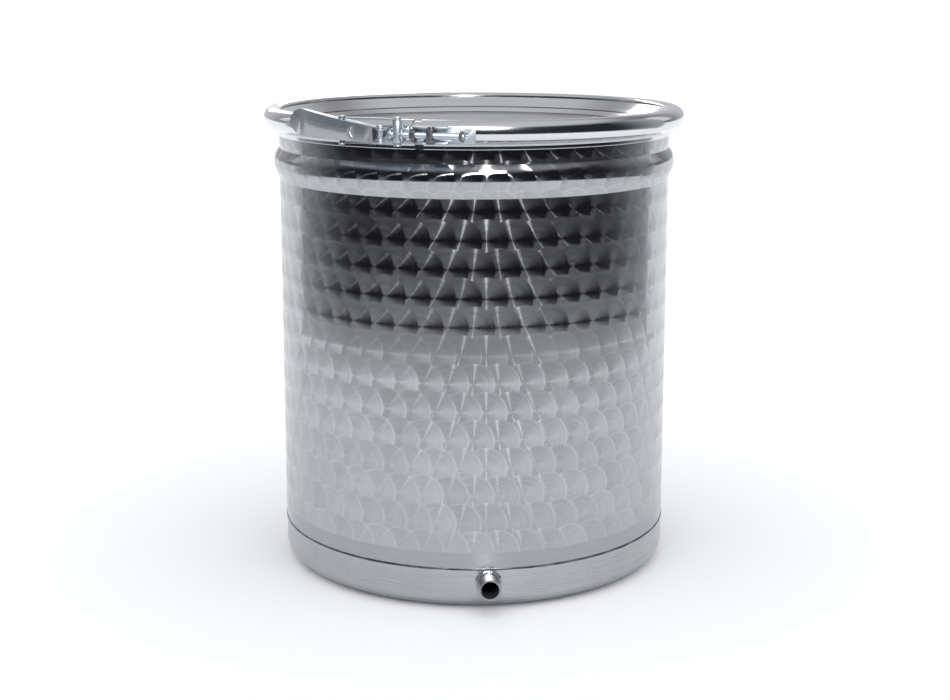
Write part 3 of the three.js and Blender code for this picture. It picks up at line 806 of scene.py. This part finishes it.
def makeGasket():
    centre = lid["archCentre"]
    radius = lid["archRadius"] - lid["sheet"] - gasket["gap"]
    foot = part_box("lid_gasket")[0].z
    low = math.degrees(math.asin((foot - centre[1]) / radius))
    steps = [onCircle(radius, centre, low), ("arc", *centre, lid["archEnd"] - low, gasket["steps"]),
             (bodyR - gasket["innerEdge"], foot)]
    bm = turnSection(steps)
    newPiece("gasket", bm, "cover", gasketRubber, ["lid_gasket"])


makeLid()
makeGasket()
print("lid made")


# clamp ring: an open hoop whose section hooks over the lid and under the rim

ring = {
    "sheet": 1.2 * mm,
    "topEnd": 130,
    "legAngle": -58,
    "hemR": 2.6 * mm,  # outside of the hem, beyond the drum's wall
    "hemFoot": 10.3 * mm,  # below the rim's centre
    "steps": 36,
    "endSteps": 8,  # round both edges of the sheet
    "splitAt": 24 * mm,
    "splitWidth": 8 * mm,
    "merge": 0.0001 * mm,
}
closureTurn = -25  # degrees, the closure's frame, from the outlet's side towards +X


def makeClampRing():
    centre = lid["archCentre"]
    radius, sheet = ringOuterR - centre[0], ring["sheet"]
    low, high = ring["legAngle"], ring["topEnd"]
    slope = math.tan(math.radians(low - 90))
    footZ = rimZ - ring["hemFoot"] + sheet / 2
    outerR = bodyR + ring["hemR"]

    # where the leg, which leaves an arc at its tangent, comes to a distance from the axis
    def legEnd(arcRadius, distance):
        start = onCircle(arcRadius, centre, low)
        return (distance, start[1] + (distance - start[0]) * slope)

    middle = radius - sheet / 2
    steps = [
        onCircle(radius, centre, low), ("arc", *centre, high - low, ring["steps"]),
        ("arc", *onCircle(middle, centre, high), 180, ring["endSteps"]),
        ("arc", *centre, low - high, ring["steps"]),
        legEnd(radius - sheet, outerR - sheet), (outerR - sheet, footZ),
        ("arc", outerR - sheet / 2, footZ, 180, ring["endSteps"]),
        legEnd(radius, outerR),
    ]
    bm = bmesh.new()
    drawSection(bm, steps)
    tidyMesh(bm, ring["merge"])
    splitLow = math.asin((ring["splitAt"] - ring["splitWidth"] / 2) / ringOuterR)
    splitHigh = math.asin((ring["splitAt"] + ring["splitWidth"] / 2) / ringOuterR)
    start = math.radians(closureTurn - 90)
    bmesh.ops.rotate(bm, verts=bm.verts[:], matrix=Matrix.Rotation(start + splitHigh, 3, "Z"))
    bmesh.ops.spin(bm, geom=bm.verts[:] + bm.edges[:], cent=(0, 0, 0), axis=(0, 0, 1),
                   angle=fullTurn - (splitHigh - splitLow), steps=roundSteps)
    openEdges = [edge for edge in bm.edges if edge.is_boundary]
    bmesh.ops.holes_fill(bm, edges=openEdges, sides=0)
    tidyMesh(bm)
    newPiece("ring_hoop", bm, "ring", polishedSteel, ["clamp_ring"])


makeClampRing()
print("clamp ring made")


# closure pieces, from merged copies of their solids with small radii on the edges;
# each has its body, material, slot, and the radius on its edges in mm
closurePieces = {
    "lever_bracket": ("ring", platedSteel, "plated_steel", 0.25),
    "catch_bracket": ("ring", platedSteel, "plated_steel", 0.25),
    "lever_pivot_pin": ("ring", platedSteel, "plated_steel", 0.25),
    "lever_handle": ("lever", platedSteel, "plated_steel", 0.3),
    "link_pivot_pin": ("lever", platedSteel, "plated_steel", 0.25),
    "upper_link_plate": ("link", platedSteel, "plated_steel", 0.25),
    "lower_link_plate": ("link", platedSteel, "plated_steel", 0.25),
    "link_crossbar": ("link", platedSteel, "plated_steel", 0.3),
    "adjusting_screw": ("link", platedSteel, "plated_steel", 0.2),
    "screw_washer": ("link", platedSteel, "plated_steel", 0.2),
    "lock_nut": ("link", darkPlated, "dark_plated", 0.3),
    "hook_bar": ("link", darkPlated, "dark_plated", 0.3),
    "end_nut": ("link", darkPlated, "dark_plated", 0.3),
}


closureEdges = {"merge": 0.002 * mm, "flat": 1, "sharp": 40, "segments": 2}  # angles in degrees


def roundedCopy(node, body, material, radius):
    bm = bmesh.new()
    bm.from_mesh(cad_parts[node].data)
    bmesh.ops.remove_doubles(bm, verts=bm.verts[:], dist=closureEdges["merge"])
    bmesh.ops.dissolve_limit(bm, angle_limit=math.radians(closureEdges["flat"]),
                             verts=bm.verts[:], edges=bm.edges[:])
    sharp = [edge for edge in bm.edges if len(edge.link_faces) == 2
             and edge.calc_face_angle() > math.radians(closureEdges["sharp"])]
    bmesh.ops.bevel(bm, geom=sharp, offset=radius * mm, segments=closureEdges["segments"],
                    profile=0.5, affect="EDGES", clamp_overlap=True, material=-1)
    return newPiece(node + "_finished", bm, body, material, [node], closureEdges["sharp"])


plateRoom = 0.15 * mm  # the upper plate's underside stays clear of the sloping lever


def raiseUnderside(piece, rise):
    low = min(vert.co.z for vert in piece.data.vertices)
    for vert in piece.data.vertices:
        if vert.co.z < low + 2 * rise:
            vert.co.z += rise


for node, (body, material, slot, radius) in closurePieces.items():
    piece = roundedCopy(node, body, material, radius)
    if node == "upper_link_plate":
        raiseUnderside(piece, plateRoom)
print("closure made")


# floor, light and camera

studio = {
    "floorSize": 14,
    "floorDrop": 0.2 * mm,
    "floorColour": (0.9, 0.9, 0.9, 1),
    "worldColour": (0.97, 0.98, 1.0, 1),
    "worldStrength": 1.24,
    "reflectedStrength": 0.17,  # at the horizon; a ceiling and a back wall are brighter
    "ceilingStrength": 0.62,
    "backStrength": 0.42,
    "lightAim": (0, 0, 0.22),
    "key": {"azimuth": 3, "elevation": 38, "distance": 2.0, "size": 0.2, "power": 55},
    "left": {"azimuth": -118, "elevation": 25, "distance": 2.4, "size": 1.0, "power": 2},
    "right": {"azimuth": 114, "elevation": 25, "distance": 2.4, "size": 1.0, "power": 2},
    "back": {"azimuth": 190, "elevation": 24, "distance": 2.2, "size": 0.8, "power": 5},
}


def makeFloor():
    bm = bmesh.new()
    bmesh.ops.create_grid(bm, x_segments=1, y_segments=1, size=studio["floorSize"])
    bmesh.ops.translate(bm, verts=bm.verts[:], vec=(0, 0, -studio["floorDrop"]))
    floor = linkMesh("floor", bm)
    material, tree, shader = startMaterial("paleFloor")
    fill(tree, shader.inputs["Base Color"], studio["floorColour"])
    shader.inputs["Roughness"].default_value = 1.0
    shader.inputs["Specular IOR Level"].default_value = 0.0
    floor.data.materials.append(material)


def aimAt(thing, spot, target):
    thing.location = spot
    thing.rotation_euler = (Vector(target) - Vector(spot)).to_track_quat("-Z", "Y").to_euler()


def addLight(name):
    values, target = studio[name], studio["lightAim"]
    light = bpy.data.lights.new(name, "AREA")
    light.shape = "SQUARE"
    light.size = values["size"]
    light.energy = values["power"]
    holder = bpy.data.objects.new(name, light)
    bpy.context.scene.collection.objects.link(holder)
    azimuth, elevation = math.radians(values["azimuth"]), math.radians(values["elevation"])
    reach = values["distance"]
    spot = (reach * math.sin(azimuth) * math.cos(elevation),
            -reach * math.cos(azimuth) * math.cos(elevation),
            target[2] + reach * math.sin(elevation))
    aimAt(holder, spot, target)
    holder.visible_diffuse = False  # the world lights the floor; these only shine on the metal


flag = {"distance": 1.25, "from": -117, "to": 111, "low": 0.0, "high": 1.42, "fade": 42,
        "steps": 48, "shade": (0.012, 0.013, 0.016, 1), "endShade": (0.40, 0.41, 0.43, 1)}


# a curved dark card, paler at both ends, that only reflections see
def makeFlag():
    bm = bmesh.new()
    ends = [bm.verts.new((0, -flag["distance"], height)) for height in (flag["low"], flag["high"])]
    bm.edges.new(ends)
    bmesh.ops.rotate(bm, verts=bm.verts[:],
                     matrix=Matrix.Rotation(math.radians(flag["from"]), 3, "Z"))
    bmesh.ops.spin(bm, geom=bm.verts[:] + bm.edges[:], cent=(0, 0, 0), axis=(0, 0, 1),
                   angle=math.radians(flag["to"] - flag["from"]), steps=flag["steps"])
    card = linkMesh("flag", bm)
    material = bpy.data.materials.new("darkCard")
    material.use_nodes = True
    tree = material.node_tree
    tree.nodes.clear()
    angle = roundCoordinates(tree, objectPlace(tree))[1]
    fromEnd = calc(tree, "MINIMUM", calc(tree, "SUBTRACT", angle, math.radians(flag["from"])),
                   calc(tree, "SUBTRACT", math.radians(flag["to"]), angle))
    fade = mapRange(tree, fromEnd, 0.0, math.radians(flag["fade"]), 1.0, 0.0, True)
    colour = mixColour(tree, fade, flag["shade"], flag["endShade"])
    glow = addNode(tree, "Emission", {"Color": colour, "Strength": 1.0})
    addNode(tree, "OutputMaterial", {"Surface": glow.outputs[0]})
    card.data.materials.append(material)
    card.visible_camera = False
    card.visible_diffuse = False
    card.visible_shadow = False
    card.visible_transmission = False


def makeWorld():
    world = bpy.data.worlds.new("studio")
    bpy.context.scene.world = world
    world.use_nodes = True
    tree = world.node_tree
    tree.nodes.clear()
    toward = addNode(tree, "TexCoord").outputs["Generated"]
    parts = addNode(tree, "SeparateXYZ", {0: toward}).outputs
    ceiling = mapRange(tree, parts[2], 0.6, 0.85, studio["reflectedStrength"],
                       studio["ceilingStrength"], True)
    back = mapRange(tree, parts[1], 0.55, 0.95, 0.0, studio["backStrength"], True)
    reflected = addNode(tree, "LightPath").outputs["Is Glossy Ray"]
    strength = choose(tree, reflected, studio["worldStrength"], calc(tree, "ADD", ceiling, back))
    glow = addNode(tree, "Background", {"Color": studio["worldColour"], "Strength": strength})
    addNode(tree, "OutputWorld", {"Surface": glow.outputs[0]})


view = {"distance": 1.561, "height": 0.5525, "azimuth": -4, "pitch": 10.33, "lens": 60.2,
        "shift": -0.07, "shiftSide": 0.001, "sensor": 36, "farClip": 60}


def makeCamera():
    camera = bpy.data.cameras.new("camera")
    camera.lens = view["lens"]
    camera.sensor_width = view["sensor"]
    camera.shift_x = view["shiftSide"]
    camera.shift_y = view["shift"]
    camera.clip_end = view["farClip"]
    holder = bpy.data.objects.new("camera", camera)
    bpy.context.scene.collection.objects.link(holder)
    azimuth = math.radians(view["azimuth"])
    holder.location = (view["distance"] * math.sin(azimuth), -view["distance"] * math.cos(azimuth),
                       view["height"])
    holder.rotation_euler = (math.radians(90 - view["pitch"]), 0, azimuth)
    bpy.context.scene.camera = holder


makeFloor()
makeFlag()
makeWorld()
makeCamera()
for name in ("key", "left", "right", "back"):
    addLight(name)
bpy.context.scene.view_settings.view_transform = "Standard"
print("studio made")
